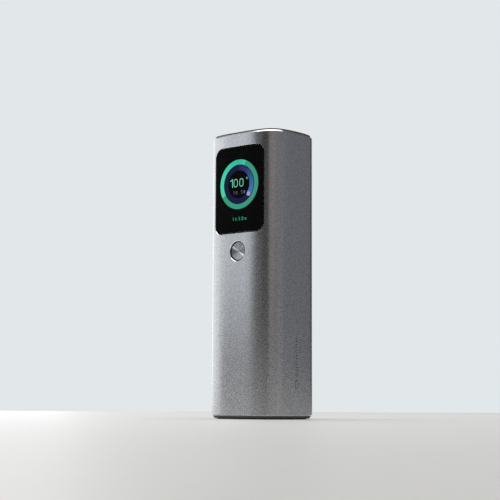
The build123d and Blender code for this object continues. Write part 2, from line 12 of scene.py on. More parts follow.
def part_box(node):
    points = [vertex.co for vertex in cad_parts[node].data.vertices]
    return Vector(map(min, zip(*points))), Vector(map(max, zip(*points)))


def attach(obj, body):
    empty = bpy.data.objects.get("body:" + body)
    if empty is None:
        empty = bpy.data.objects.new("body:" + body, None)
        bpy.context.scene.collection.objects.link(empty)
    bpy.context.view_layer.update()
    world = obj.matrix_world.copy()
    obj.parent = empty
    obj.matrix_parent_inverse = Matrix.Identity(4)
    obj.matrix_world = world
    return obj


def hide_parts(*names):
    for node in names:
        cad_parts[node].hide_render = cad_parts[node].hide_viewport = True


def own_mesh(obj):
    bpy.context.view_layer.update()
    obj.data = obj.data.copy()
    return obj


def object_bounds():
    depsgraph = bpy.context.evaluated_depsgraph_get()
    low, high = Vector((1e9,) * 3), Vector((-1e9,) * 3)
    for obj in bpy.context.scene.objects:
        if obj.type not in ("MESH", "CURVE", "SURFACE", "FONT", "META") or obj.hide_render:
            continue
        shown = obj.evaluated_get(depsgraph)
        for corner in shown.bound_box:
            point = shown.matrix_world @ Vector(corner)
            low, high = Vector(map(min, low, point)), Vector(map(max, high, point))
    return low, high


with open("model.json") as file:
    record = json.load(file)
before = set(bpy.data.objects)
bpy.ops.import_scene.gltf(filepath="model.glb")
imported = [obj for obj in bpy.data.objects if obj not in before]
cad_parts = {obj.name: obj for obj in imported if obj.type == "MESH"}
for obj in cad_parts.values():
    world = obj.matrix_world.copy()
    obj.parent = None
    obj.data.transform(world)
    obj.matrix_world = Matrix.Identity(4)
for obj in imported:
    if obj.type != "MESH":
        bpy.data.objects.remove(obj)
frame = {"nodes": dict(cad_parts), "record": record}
cad_low, cad_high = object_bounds()
nodes = frame["nodes"]
MM = 0.001

# Places read from the frame
glass_low, glass_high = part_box("display_glass")
lcd_low, lcd_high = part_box("lcd_panel")
cap_low, cap_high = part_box("button_cap")
sleeve_low, sleeve_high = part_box("outer_shell")
window_z = (glass_low.z + glass_high.z) / 2
button_z = (cap_low.z + cap_high.z) / 2
front_y = sleeve_low.y
side_x = sleeve_high.x

# The gauge on the display
gauge_rise = 2.95 * MM  # the gauge's centre above the window's
gauge_shift = -0.35 * MM  # and to its left


# ---------------------------------------------------------------- camera, light and backdrop
def direction(azimuth, elevation):
    """Unit vector from the object; azimuth 0 is straight in front of it and 90 is to its right."""
    a, e = radians(azimuth), radians(elevation)
    return Vector((sin(a) * cos(e), -cos(a) * cos(e), sin(e)))


def make_camera():
    """A long lens near the foot's height, turned to the object's front right corner."""
    azimuth, distance, height = 41.02, 0.7302, 0.0080
    yaw, pitch, roll = 0.521, 6.430, 0.264
    back = direction(azimuth + yaw, -pitch)
    right = Vector((cos(radians(azimuth + yaw)), sin(radians(azimuth + yaw)), 0))
    up = back.cross(right)
    tilted = right * cos(radians(roll)) + up * sin(radians(roll))
    data = bpy.data.cameras.new("camera")
    data.lens = 98.24
    data.clip_start = 0.05
    camera = bpy.data.objects.new("camera", data)
    turn = Matrix((tilted, back.cross(tilted), back)).transposed()
    place = direction(azimuth, 0) * distance + Vector((0, 0, height))
    camera.matrix_world = Matrix.Translation(place) @ turn.to_4x4()
    bpy.context.scene.collection.objects.link(camera)
    bpy.context.scene.camera = camera


def softbox(name, azimuth, elevation, distance, size, radiance, colour=(1, 1, 1)):
    """A rectangular soft light that faces the middle of the object. Distance and size are in metres."""
    data = bpy.data.lights.new(name, "AREA")
    data.shape = "RECTANGLE"
    data.size, data.size_y = size
    data.energy = radiance * pi * size[0] * size[1]
    data.color = colour
    light = bpy.data.objects.new(name, data)
    aim = direction(azimuth, elevation)
    light.location = Vector((0, 0, cad_high.z / 2)) + aim * distance
    light.rotation_mode = "QUATERNION"
    light.rotation_quaternion = aim.to_track_quat("Z", "Y")
    light.visible_camera = False
    bpy.context.scene.collection.objects.link(light)
    return light


def make_world():
    """Dim room light, seen by the camera as a pale backdrop."""
    world = bpy.data.worlds.new("room")
    bpy.context.scene.world = world
    world.use_nodes = True
    tree = world.node_tree
    room = tree.nodes["Background"]
    room.inputs["Color"].default_value = (1.0, 0.97, 0.94, 1)
    room.inputs["Strength"].default_value = 0.07
    backdrop = tree.nodes.new("ShaderNodeBackground")
    backdrop.inputs["Color"].default_value = (0.76, 0.80, 0.82, 1)
    path = tree.nodes.new("ShaderNodeLightPath")
    mix = tree.nodes.new("ShaderNodeMixShader")
    tree.links.new(path.outputs["Is Camera Ray"], mix.inputs["Fac"])
    tree.links.new(room.outputs[0], mix.inputs[1])
    tree.links.new(backdrop.outputs[0], mix.inputs[2])
    tree.links.new(mix.outputs[0], tree.nodes["World Output"].inputs["Surface"])


make_camera()
make_world()
left_window = softbox("left_window", -92, 12, 1.0, (1.4, 0.8), 1.35, (0.95, 0.98, 1.0))
left_front = softbox("left_front", -43, 24, 1.1, (0.53, 0.9), 1.0, (0.91, 0.96, 1.03))
softbox("left_high", -95, 55, 1.2, (1.6, 0.7), 0.4, (0.9, 0.95, 1.0))
softbox("sky", 0, 90, 1.2, (1.5, 1.5), 2.5, (1.0, 0.99, 0.97))
softbox("right_near", 48, 21, 1.1, (0.8, 0.8), 0.255, (1.0, 0.96, 0.92))
softbox("right_middle", 92, 18, 1.1, (0.9, 0.8), 0.21, (0.91, 0.95, 1.03))
softbox("right_far", 142, 18, 1.1, (1.2, 0.8), 0.165, (0.87, 0.94, 1.08))
softbox("behind", 221, 10, 1.5, (1.6, 0.6), 0.5, (1.0, 0.99, 0.97))
bpy.context.scene.view_settings.view_transform = "Standard"


# ---------------------------------------------------------------- materials
def srgb(red, green, blue):
    """Linear colour of an 8-bit display colour."""
    parts = [c / 255 for c in (red, green, blue)]
    return tuple(c / 12.92 if c < 0.04045 else ((c + 0.055) / 1.055) ** 2.4 for c in parts)


class Surface:
    """A Principled material under construction; sockets are given by name."""

    def __init__(self, name, colour, **sockets):
        self.material = bpy.data.materials.new(name)
        self.material.use_nodes = True
        self.tree = self.material.node_tree
        self.shader = self.tree.nodes["Principled BSDF"]
        self.shader.inputs["Base Color"].default_value = (*colour, 1)
        for key, value in sockets.items():
            self.shader.inputs[key.replace("_", " ")].default_value = value
        self.place = self.node("ShaderNodeTexCoord").outputs["Object"]

    def node(self, kind, inputs=None, **settings):
        """Adds a node. An input is a number, a colour or another node's output."""
        made = self.tree.nodes.new(kind)
        for key, value in settings.items():
            setattr(made, key, value)
        for key, value in (inputs or {}).items():
            self.feed(made.inputs[key], value)
        return made

    def feed(self, socket, value):
        if isinstance(value, bpy.types.NodeSocket):
            self.tree.links.new(value, socket)
        else:
            socket.default_value = value

    def math(self, operation, *values):
        made = self.node("ShaderNodeMath", dict(enumerate(values)), operation=operation)
        return made.outputs[0]

    def noise(self, size, detail=2.0, roughness=0.5, stretch=(1, 1, 1)):
        """Noise whose features are about size metres across."""
        spot = self.node("ShaderNodeVectorMath", {0: self.place, 1: stretch}, operation="MULTIPLY")
        inputs = {"Vector": spot.outputs[0], "Scale": 1 / size, "Detail": detail, "Roughness": roughness}
        return self.node("ShaderNodeTexNoise", inputs).outputs["Fac"]

    def grains(self, size):
        """Cells about size metres across, each with its own random grey."""
        cells = self.node("ShaderNodeTexVoronoi", {"Vector": self.place, "Scale": 1 / size})
        return self.node("ShaderNodeRGBToBW", {0: cells.outputs["Color"]}).outputs[0]

    def spread(self, value, low, high):
        """Maps a 0 to 1 value to the range low to high."""
        return self.node("ShaderNodeMapRange", {0: value, 3: low, 4: high}).outputs[0]

    def blend(self, share, low, high):
        """Mixes two colours."""
        made = self.node("ShaderNodeMix", data_type="RGBA")
        self.feed(made.inputs["Factor"], share)
        for socket, colour in ((made.inputs[6], low), (made.inputs[7], high)):
            self.feed(socket, colour if isinstance(colour, bpy.types.NodeSocket) else (*colour, 1))
        return made.outputs[2]

    def ramp(self, value, stops):
        """A colour ramp; stops are (place from 0 to 1, colour)."""
        made = self.node("ShaderNodeValToRGB", {0: value})
        while len(made.color_ramp.elements) < len(stops):
            made.color_ramp.elements.new(0.5)
        for element, (place, colour) in zip(made.color_ramp.elements, stops):
            element.position = place
            element.color = (*colour, 1)
        return made.outputs["Color"]

    def set(self, name, value):
        self.feed(self.shader.inputs[name], value)

    def bump(self, height, depth, strength=1.0):
        made = self.node("ShaderNodeBump", {"Height": height, "Distance": depth, "Strength": strength})
        self.set("Normal", made.outputs[0])


def box_distance(surface, centre_z, half, radius):
    """Distance in x and z from a rounded rectangle on the front, negative inside it."""
    split = surface.node("ShaderNodeSeparateXYZ", {0: surface.place})
    across = surface.math("ABSOLUTE", split.outputs["X"])
    along = surface.math("ABSOLUTE", surface.math("SUBTRACT", split.outputs["Z"], centre_z))
    out_x = surface.math("SUBTRACT", across, half[0] - radius)
    out_z = surface.math("SUBTRACT", along, half[1] - radius)
    past_x = surface.math("MAXIMUM", out_x, 0.0)
    past_z = surface.math("MAXIMUM", out_z, 0.0)
    square = surface.math("ADD", surface.math("POWER", past_x, 2.0), surface.math("POWER", past_z, 2.0))
    inner = surface.math("MINIMUM", surface.math("MAXIMUM", out_x, out_z), 0.0)
    return surface.math("SUBTRACT", surface.math("ADD", surface.math("SQRT", square), inner), radius)


def sleeve_metal():
    """Blasted, grey anodised aluminium, with bright cut chamfers at the rims and the openings."""
    metal = Surface("anodised_sleeve", (0.50, 0.50, 0.51), Metallic=1.0)
    split = metal.node("ShaderNodeSeparateXYZ", {0: metal.place})
    top_cut, bottom_cut, opening_cut = 0.82 * MM, 0.5 * MM, 0.36 * MM
    rim_top = metal.math("GREATER_THAN", split.outputs["Z"], sleeve_high.z - top_cut)
    rim_bottom = metal.math("LESS_THAN", split.outputs["Z"], sleeve_low.z + bottom_cut)
    half = ((glass_high.x - glass_low.x) / 2, (glass_high.z - glass_low.z) / 2)
    window_corner, bezel_width = 4.9 * MM, 0.5 * MM
    window = box_distance(metal, window_z, half, window_corner)
    hole_radius = (cap_high.x - cap_low.x) / 2 + bezel_width
    hole = box_distance(metal, button_z, (hole_radius, hole_radius), hole_radius)
    cut = metal.math("LESS_THAN", metal.math("MINIMUM", window, hole), opening_cut)
    cut = metal.math("MULTIPLY", cut, metal.math("LESS_THAN", split.outputs["Y"], 0.0))
    cut = metal.math("MAXIMUM", cut, metal.math("MAXIMUM", rim_top, rim_bottom))
    speckle = metal.grains(0.6 * MM)
    cloud = metal.noise(0.9 * MM, 3.0, 0.6)
    grain = metal.math("ADD", metal.math("MULTIPLY", speckle, 0.6), metal.math("MULTIPLY", cloud, 0.4))
    tone = metal.blend(metal.spread(grain, -0.2, 1.2), (0.40, 0.40, 0.41), (0.60, 0.60, 0.61))
    metal.set("Base Color", metal.blend(cut, tone, (0.74, 0.745, 0.76)))
    rough = metal.spread(cloud, 0.21, 0.33)
    cut_share = metal.math("MULTIPLY", cut, -0.08)
    metal.set("Roughness", metal.math("ADD", rough, cut_share))
    metal.bump(grain, 0.008 * MM, 0.6)
    return metal.material


def plastic(name, colour, roughness=0.45, grain=0.12, depth=0.01):
    """Moulded plastic with a slight change of tone and a fine texture. Grain and depth are in mm."""
    made = Surface(name, colour)
    texture = made.noise(grain * MM, 3.0)
    tone = made.noise(6 * MM, 3.0)
    made.set("Base Color", made.blend(tone, [c * 0.82 for c in colour], [min(1, c * 1.18) for c in colour]))
    made.set("Roughness", made.spread(texture, roughness - 0.07, roughness + 0.09))
    made.bump(texture, depth * MM, 0.6)
    return made.material


def rubber(name, colour):
    """Matt silicone with pin-head pimples."""
    made = Surface(name, colour, Sheen_Weight=0.15)
    pimple_pitch = 0.9 * MM
    inputs = {"Vector": made.place, "Scale": 1 / pimple_pitch, "Randomness": 0.15}
    dots = made.node("ShaderNodeTexVoronoi", inputs)
    pimple = made.spread(dots.outputs["Distance"], 1.0, 0.0)
    dust = made.noise(2.5 * MM, 5.0, 0.65)
    made.set("Base Color", made.blend(dust, colour, [c * 1.5 + 0.01 for c in colour]))
    made.set("Roughness", made.spread(dust, 0.62, 0.8))
    made.bump(pimple, 0.05 * MM)
    return made.material


def bare_metal(name, colour, roughness=0.25, stretch=(1, 1, 1)):
    """Plain or plated metal; stretch draws its scratches out along one axis."""
    made = Surface(name, colour, Metallic=1.0)
    marks = made.noise(0.25 * MM, 4.0, 0.7, stretch)
    made.set("Base Color", made.blend(marks, [c * 0.88 for c in colour], [min(1, c * 1.08) for c in colour]))
    made.set("Roughness", made.spread(marks, roughness - 0.08, roughness + 0.12))
    made.bump(marks, 0.004 * MM, 0.5)
    return made.material


def ink(name, colour):
    """Black that lies against glass, and so has no gloss of its own."""
    made = Surface(name, colour, Roughness=0.9, Specular_IOR_Level=0.0)
    tone = made.noise(3 * MM, 2.0)
    made.set("Base Color", made.blend(tone, [c * 0.8 for c in colour], [c * 1.2 for c in colour]))
    return made.material


def glowing(name, colour, strength=1.0):
    """A lit part of the display."""
    made = Surface(name, (0, 0, 0), Emission_Strength=strength, Specular_IOR_Level=0.0)
    made.set("Emission Color", (*colour, 1))
    return made.material


def gradient_glow(name, stops):
    """Lit, with a colour that changes clockwise from the top; stops are (turn, colour)."""
    made = Surface(name, (0, 0, 0), Emission_Strength=1.0, Specular_IOR_Level=0.0)
    split = made.node("ShaderNodeSeparateXYZ", {0: made.place})
    above = made.math("SUBTRACT", split.outputs["Z"], window_z + gauge_rise)
    beside = made.math("SUBTRACT", split.outputs["X"], gauge_shift)
    turned = made.node("ShaderNodeCombineXYZ", {0: above, 1: beside})
    sweep = made.node("ShaderNodeTexGradient", {0: turned.outputs[0]}, gradient_type="RADIAL")
    turns = made.math("FRACT", made.math("ADD", sweep.outputs["Fac"], 0.5))
    made.set("Emission Color", made.ramp(turns, stops))
    return made.material


def cover_glass():
    """Polished cover glass, bonded to the screen."""
    tint = (0.93, 0.95, 0.97)
    return Surface("cover_glass", tint, Roughness=0.0, IOR=1.5, Transmission_Weight=1.0).material


def spun_metal():
    """Machined metal with grooves round the button: real anisotropic gloss, plus a painted highlight of
    bright opposite wedges in its colour.
    """
    made = Surface("button_metal", (0.4, 0.42, 0.43), Metallic=1.0)
    made.set("Anisotropic", 0.9)
    made.set("Anisotropic Rotation", 0.25)
    split = made.node("ShaderNodeSeparateXYZ", {0: made.place})
    above = made.math("SUBTRACT", split.outputs["Z"], button_z)
    flat = made.node("ShaderNodeCombineXYZ", {0: split.outputs["X"], 1: above}).outputs[0]
    radius = made.node("ShaderNodeVectorMath", {0: flat}, operation="LENGTH").outputs["Value"]
    line = made.node("ShaderNodeCombineXYZ", {0: radius})
    groove_pitch = 0.09 * MM
    inputs = {"Vector": line.outputs[0], "Scale": 1 / groove_pitch, "Detail": 3.0, "Roughness": 0.6}
    rings = made.node("ShaderNodeTexNoise", inputs).outputs["Fac"]
    sweep = made.node("ShaderNodeTexGradient", {0: flat}, gradient_type="RADIAL")
    half_turn = made.math("FRACT", made.math("MULTIPLY", sweep.outputs["Fac"], 2.0))
    # Painted highlight: two opposite bright wedges in the base colour stand in for the flash of the spun
    # grooves; the anisotropic gloss set above is real.
    faint_painted_highlight = ((0, 0.2), (24, 0.2), (36, 0.5), (44, 0.28))
    bright_painted_highlight = ((90, 0.38), (136, 0.36), (146, 1.0), (156, 0.34), (168, 0.2))
    stops = []
    for degrees, tone in (*faint_painted_highlight, *bright_painted_highlight):
        stops.append((degrees / 180, (tone * 0.96, tone * 0.99, tone)))
    made.set("Base Color", made.ramp(half_turn, stops))
    made.set("Roughness", made.spread(rings, 0.2, 0.32))
    tangent = made.node("ShaderNodeTangent", direction_type="RADIAL", axis="Y")
    made.set("Tangent", tangent.outputs[0])
    made.bump(rings, 0.001 * MM, 0.4)
    return made.material


def board():
    """Green solder mask over copper traces."""
    made = Surface("board_laminate", (0.02, 0.12, 0.07), Coat_Weight=0.4)
    traces = made.node("ShaderNodeTexBrick", {"Vector": made.place, "Scale": 1 / (2.4 * MM)}, offset=0.37)
    traces.inputs["Color1"].default_value = (0.015, 0.105, 0.06, 1)
    traces.inputs["Color2"].default_value = (0.02, 0.13, 0.075, 1)
    traces.inputs["Mortar"].default_value = (0.05, 0.20, 0.10, 1)
    made.set("Base Color", traces.outputs["Color"])
    made.set("Roughness", made.spread(made.noise(1.5 * MM), 0.3, 0.45))
    made.bump(traces.outputs["Fac"], 0.03 * MM)
    return made.material


def cell_wrap():
    """Shrink sleeve with faint pull lines along the cell."""
    made = Surface("cell_sleeve", (0.10, 0.36, 0.42), Coat_Weight=0.3)
    pull = made.noise(1.2 * MM, 3.0, 0.6, (1, 1, 0.12))
    made.set("Base Color", made.blend(pull, (0.06, 0.27, 0.33), (0.11, 0.38, 0.45)))
    made.set("Roughness", made.spread(pull, 0.22, 0.4))
    made.bump(pull, 0.05 * MM)
    return made.material


mint = srgb(78, 214, 176)
mint_deep = srgb(50, 190, 150)
mint_dim = srgb(62, 156, 128)
navy = srgb(24, 28, 66)

slots = {
    "anodised_sleeve": sleeve_metal(),
    "black_cap": plastic("black_cap", (0.105, 0.098, 0.088), 0.45),
    "foot_rubber": rubber("foot_rubber", (0.022, 0.022, 0.024)),
    "cover_glass": cover_glass(),
    "optical_gel": plastic("optical_gel", (0.6, 0.6, 0.6), 0.2),
    "lcd_screen": ink("lcd_screen", (0.0022, 0.0026, 0.0040)),
    "backlight": plastic("backlight", (0.72, 0.73, 0.75), 0.4),
    "button_metal": spun_metal(),
    "black_plastic": plastic("black_plastic", (0.028, 0.028, 0.030), 0.5),
    "grey_plastic": plastic("grey_plastic", (0.30, 0.31, 0.33), 0.5),
    "screw_steel": bare_metal("screw_steel", (0.55, 0.56, 0.58), 0.28),
    "port_steel": bare_metal("port_steel", (0.66, 0.66, 0.67), 0.22, (1, 1, 0.1)),
    "port_moulding": plastic("port_moulding", (0.035, 0.035, 0.04), 0.4),
    "contact_gold": bare_metal("contact_gold", (0.83, 0.62, 0.27), 0.2, (1, 1, 0.1)),
    "board_laminate": board(),
    "chip_epoxy": plastic("chip_epoxy", (0.03, 0.03, 0.033), 0.55),
    "inductor_ferrite": plastic("inductor_ferrite", (0.16, 0.16, 0.17), 0.7, 0.25, 0.04),
    "capacitor_can": bare_metal("capacitor_can", (0.75, 0.75, 0.77), 0.3),
    "cell_sleeve": cell_wrap(),
    "cell_paper": plastic("cell_paper", (0.78, 0.76, 0.70), 0.8, 0.5, 0.03),
    "nickel": bare_metal("nickel", (0.68, 0.66, 0.62), 0.3, (1, 0.1, 1)),
    "wire_red": plastic("wire_red", (0.50, 0.03, 0.02), 0.4),
    "wire_black": plastic("wire_black", (0.02, 0.02, 0.02), 0.4),
    "flex_film": plastic("flex_film", (0.42, 0.20, 0.03), 0.3),
    "thermal_gel": plastic("thermal_gel", (0.35, 0.42, 0.55), 0.75, 0.4, 0.03),
    "adhesive_foam": plastic("adhesive_foam", (0.03, 0.03, 0.033), 0.8, 0.3, 0.04),
}
mask_ink = ink("printed_ink", (0.0018, 0.0020, 0.0026))

for row in frame["record"]["subparts"]:
    data = nodes[row["node"]].data
    data.materials.clear()
    data.materials.append(slots[row["material_slot"]])


# ---------------------------------------------------------------- mesh helpers
def piece(name, bm, material, body="housing", smooth=None):
    """Turns a bmesh into a piece that rides on a body. smooth is the sharpest angle shaded as round."""
    bmesh.ops.recalc_face_normals(bm, faces=bm.faces)
    mesh = bpy.data.meshes.new(name)
    bm.to_mesh(mesh)
    bm.free()
    mesh.materials.append(material)
    made = bpy.data.objects.new(name, mesh)
    bpy.context.scene.collection.objects.link(made)
    if smooth:
        mesh.shade_smooth()
        mesh.set_sharp_from_angle(angle=radians(smooth))
    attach(made, body)
    return made


def skin(bm, rings):
    """Quads between rings of vertices, each ring a loop."""
    for first, second in zip(rings, rings[1:]):
        for i in range(len(first)):
            j = (i + 1) % len(first)
            bm.faces.new((first[i], first[j], second[j], second[i]))


def turn_steps(count):
    """Angles of equal steps round a full turn."""
    return [2 * pi * i / count for i in range(count)]


def rounded_loop(half_x, half_z, radius, side=36, corner=12):
    """Points of a rounded rectangle in x and z, counter-clockwise from the right side's foot."""
    points = []
    for turn in range(4):
        long_side = half_z if turn % 2 == 0 else half_x
        reach = half_x if turn % 2 == 0 else half_z
        for i in range(side):
            points.append((reach, (long_side - radius) * (2 * i / side - 1), turn))
        for i in range(corner):
            a = pi / 2 * i / corner
            spot_x = reach - radius + radius * cos(a)
            points.append((spot_x, long_side - radius + radius * sin(a), turn))
    turned = []
    for u, v, turn in points:
        c, s = ((1, 0), (0, 1), (-1, 0), (0, -1))[turn]
        turned.append((u * c - v * s, u * s + v * c))
    return turned


crown_radius = 50.0 * MM  # the front turns gently on either side of its flat
corner_radius = 10.4 * MM  # and then round the corner
crown_sin = sin(radians(12))  # the crown's turn, where the corner starts
flat_half = max(v.co.x for v in nodes["outer_shell"].data.vertices if v.co.y < front_y + 0.001 * MM)


def sleeve_front(x):
    """y of the sleeve's outer surface on the front, at x."""
    beside = max(abs(x) - flat_half, 0)
    crown_part = min(beside, crown_radius * crown_sin)
    drop = crown_radius - (crown_radius**2 - crown_part**2) ** 0.5
    start = corner_radius * crown_sin
    reach = start + beside - crown_part
    drop += (corner_radius**2 - start**2) ** 0.5 - (corner_radius**2 - reach**2) ** 0.5
    return front_y + drop


# ---------------------------------------------------------------- cover lens and its printed mask
half_x = (glass_high.x - glass_low.x) / 2
half_z = (glass_high.z - glass_low.z) / 2
lens_radius = 4.88 * MM  # its corners, seen from the front
lens_edge = 0.32 * MM  # the rounding of its rim
lens_depth = 1.2 * MM
lcd_inset = 0.05 * MM
lcd_half_x = (lcd_high.x - lcd_low.x) / 2 - lcd_inset
lcd_half_z = (lcd_high.z - lcd_low.z) / 2 - lcd_inset
lcd_corner = 1.2 * MM
screen_y = lcd_low.y - 0.06 * MM
lens_back_y = lcd_low.y - 0.01 * MM


def surface_ring(bm, inset, sink):
    """A loop of the window, inset from its edge and sunk below the sleeve's surface."""
    least_corner = 0.3 * MM
    loop = rounded_loop(half_x - inset, half_z - inset, max(lens_radius - inset, least_corner))
    return [bm.verts.new((x, sleeve_front(x) + sink, window_z + z)) for x, z in loop]


def inner_ring(bm, grow, y=None, sink=0.0):
    """A loop round the lit area, on the glass's back or at a given y."""
    loop = rounded_loop(lcd_half_x + grow, lcd_half_z + grow, lcd_corner + grow)
    return [bm.verts.new((x, sleeve_front(x) + sink if y is None else y, window_z + z)) for x, z in loop]


def close_ring(bm, ring):
    """One face across a ring."""
    bm.faces.new(ring)


def make_lens():
    """The cover glass and the clear bond behind it as one clear solid, rounded at its rim."""
    bm = bmesh.new()
    bond_margin, middle_strip = 0.04 * MM, 0.2 * MM
    rings = [inner_ring(bm, bond_margin, lens_back_y)]
    rings.append(inner_ring(bm, bond_margin, sink=lens_depth))
    rings.append(surface_ring(bm, 0, lens_depth))
    rim_steps, face_steps = 6, 28
    for i in range(rim_steps + 1):
        a = pi / 2 * i / rim_steps
        rings.append(surface_ring(bm, lens_edge * (1 - cos(a)), lens_edge * (1 - sin(a))))
    for i in range(1, face_steps):
        inset = lens_edge + (half_x - lens_edge - middle_strip) * i / face_steps
        rings.append(surface_ring(bm, inset, 0))
    skin(bm, rings)
    close_ring(bm, rings[0])
    close_ring(bm, rings[-1])
    lens = piece("cover_lens", bm, slots["cover_glass"], smooth=50)
    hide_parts("display_glass", "optical_bond")
    return lens


def make_mask():
    """Black ink on the back of the glass, and the black wall down to the screen."""
    bm = bmesh.new()
    sheet = 0.03 * MM
    edge_gap = 2 * sheet
    wall_foot = lens_back_y - 0.02 * MM
    rings = [inner_ring(bm, 0, wall_foot)]
    rings.append(inner_ring(bm, 0, sink=lens_depth - 2 * sheet))
    rings.append(surface_ring(bm, edge_gap, lens_depth - 2 * sheet))
    rings.append(surface_ring(bm, edge_gap, lens_depth - sheet))
    rings.append(inner_ring(bm, sheet, sink=lens_depth - sheet))
    rings.append(inner_ring(bm, sheet, wall_foot))
    skin(bm, [*rings, rings[0]])
    piece("screen_mask", bm, mask_ink, smooth=40)


def flat_plate(bm, loop, y_near, y_far):
    """A thin plate on the front, from an outline in x and z about the window's centre."""
    near = [bm.verts.new((x, y_near, window_z + z)) for x, z in loop]
    far = [bm.verts.new((x, y_far, window_z + z)) for x, z in loop]
    skin(bm, [near, far])
    close_ring(bm, near)
    close_ring(bm, far)


def make_screen():
    """The dark face of the display, just in front of its panel."""
    bm = bmesh.new()
    loop = rounded_loop(lcd_half_x, lcd_half_z, lcd_corner)
    flat_plate(bm, loop, screen_y, lens_back_y - 0.005 * MM)
    piece("screen_face", bm, slots["lcd_screen"])


def flag_off(piece_in_shade, lights):
    """Keeps lights off one piece, as a studio flag does, so that it doesn't mirror them."""
    shaded = bpy.data.collections.new("shaded")
    shaded.objects.link(piece_in_shade)
    shaded.collection_objects[0].light_linking.link_state = "EXCLUDE"
    for light in lights:
        light.light_linking.receiver_collection = shaded


flag_off(make_lens(), (left_window, left_front))
make_mask()
make_screen()

# ---------------------------------------------------------------- the lit gauge and its readings
lit_near = screen_y - 0.03 * MM
lit_far = screen_y - 0.01 * MM


def arc_band(bm, inner, outer, start, end, step=2.0):
    """Part of a flat ring round the gauge's centre. Angles are degrees clockwise from the top."""
    count = max(2, round((end - start) / step))
    corners = []
    for i in range(count + 1):
        a = radians(start + (end - start) * i / count)
        row = []
        for radius, y in ((inner, lit_near), (outer, lit_near), (outer, lit_far), (inner, lit_far)):
            spot = (gauge_shift + radius * sin(a), y, window_z + gauge_rise + radius * cos(a))
            row.append(bm.verts.new(spot))
        corners.append(row)
    skin(bm, corners)
    close_ring(bm, corners[0])
    close_ring(bm, corners[-1])


def stroke(bm, points, width, closed=False):
    """A flat line of even width through points in x and z about the gauge's centre."""
    count = len(points)
    rows = []
    for i, (x, z) in enumerate(points):
        before = points[i - 1] if closed or i else points[i]
        after = points[(i + 1) % count] if closed or i < count - 1 else points[i]
        along = Vector((after[0] - before[0], after[1] - before[1])).normalized()
        sideways = Vector((-along.y, along.x)) * width / 2
        row = []
        for sign, y in ((-1, lit_near), (1, lit_near), (1, lit_far), (-1, lit_far)):
            spot_x = gauge_shift + x + sign * sideways.x
            row.append(bm.verts.new((spot_x, y, window_z + gauge_rise + z + sign * sideways.y)))
        rows.append(row)
    if closed:
        skin(bm, [*rows, rows[0]])
    else:
        skin(bm, rows)
        close_ring(bm, rows[0])
        close_ring(bm, rows[-1])


def oval(x, z, wide, high):
    """Outline of a zero: straight sides between round ends."""
    radius = wide / 2
    loop = rounded_loop(radius, high / 2, radius * 0.98, side=3, corner=8)
    return [(x + u, z + v) for u, v in loop]


def digit(bm, mark, x, z, wide, high, width):
    """One character of a reading, centred on x, z, from straight and round strokes."""
    left, right = x - wide / 2, x + wide / 2
    low, middle, top = z - high / 2, z, z + high / 2
    if mark == "0":
        stroke(bm, oval(x, z, wide, high), width, closed=True)
    elif mark == "1":
        stroke(bm, [(left + wide * 0.1, top - high * 0.22), (x + wide * 0.15, top)], width)
        stroke(bm, [(x + wide * 0.15, top + width / 2), (x + wide * 0.15, low - width / 2)], width)
    elif mark == "5":
        stroke(bm, [(right, top), (left, top), (left, middle + high * 0.06)], width)
        shoulder = (x, middle + high * 0.1)
        stroke(bm, [(left, middle + high * 0.08), shoulder, (right, middle - high * 0.12)], width)
        heel = (right - wide * 0.1, low + high * 0.1)
        stroke(bm, [(right, middle - high * 0.1), heel, (left, low)], width)
    elif mark == "h":
        stroke(bm, [(left, top), (left, low)], width)
        arch = [(left, middle), (x, middle + high * 0.06), (right, middle - high * 0.1), (right, low)]
        stroke(bm, arch, width)
    elif mark == "m":
        for spot in (left, x, right):
            stroke(bm, [(spot, middle + high * 0.08), (spot, low)], width)
        stroke(bm, [(left, middle + high * 0.08), (right, middle + high * 0.08)], width)
    elif mark == "W":
        for spot, tip in ((left, -0.25), (x, -0.25), (x, 0.25), (right, 0.25)):
            stroke(bm, [(spot, top), (x + wide * tip, low)], width)
    elif mark == ".":
        stroke(bm, [(x - width / 2, low), (x + width / 2, low)], width)
    elif mark == "%":
        stroke(bm, [(left, low), (right, top)], width)
        for spot in ((left + wide * 0.15, top - high * 0.2), (right - wide * 0.15, low + high * 0.2)):
            stroke(bm, oval(*spot, wide * 0.36, high * 0.4), width, closed=True)


def reading(name, text, x, z, pitch, wide, high, width, material):
    """A row of characters, centred on x, z and pitch apart; width is that of their strokes."""
    bm = bmesh.new()
    start = x - pitch * (len(text) - 1) / 2
    for i, mark in enumerate(text):
        digit(bm, mark, start + i * pitch, z, wide, high, width)
    piece(name, bm, material)


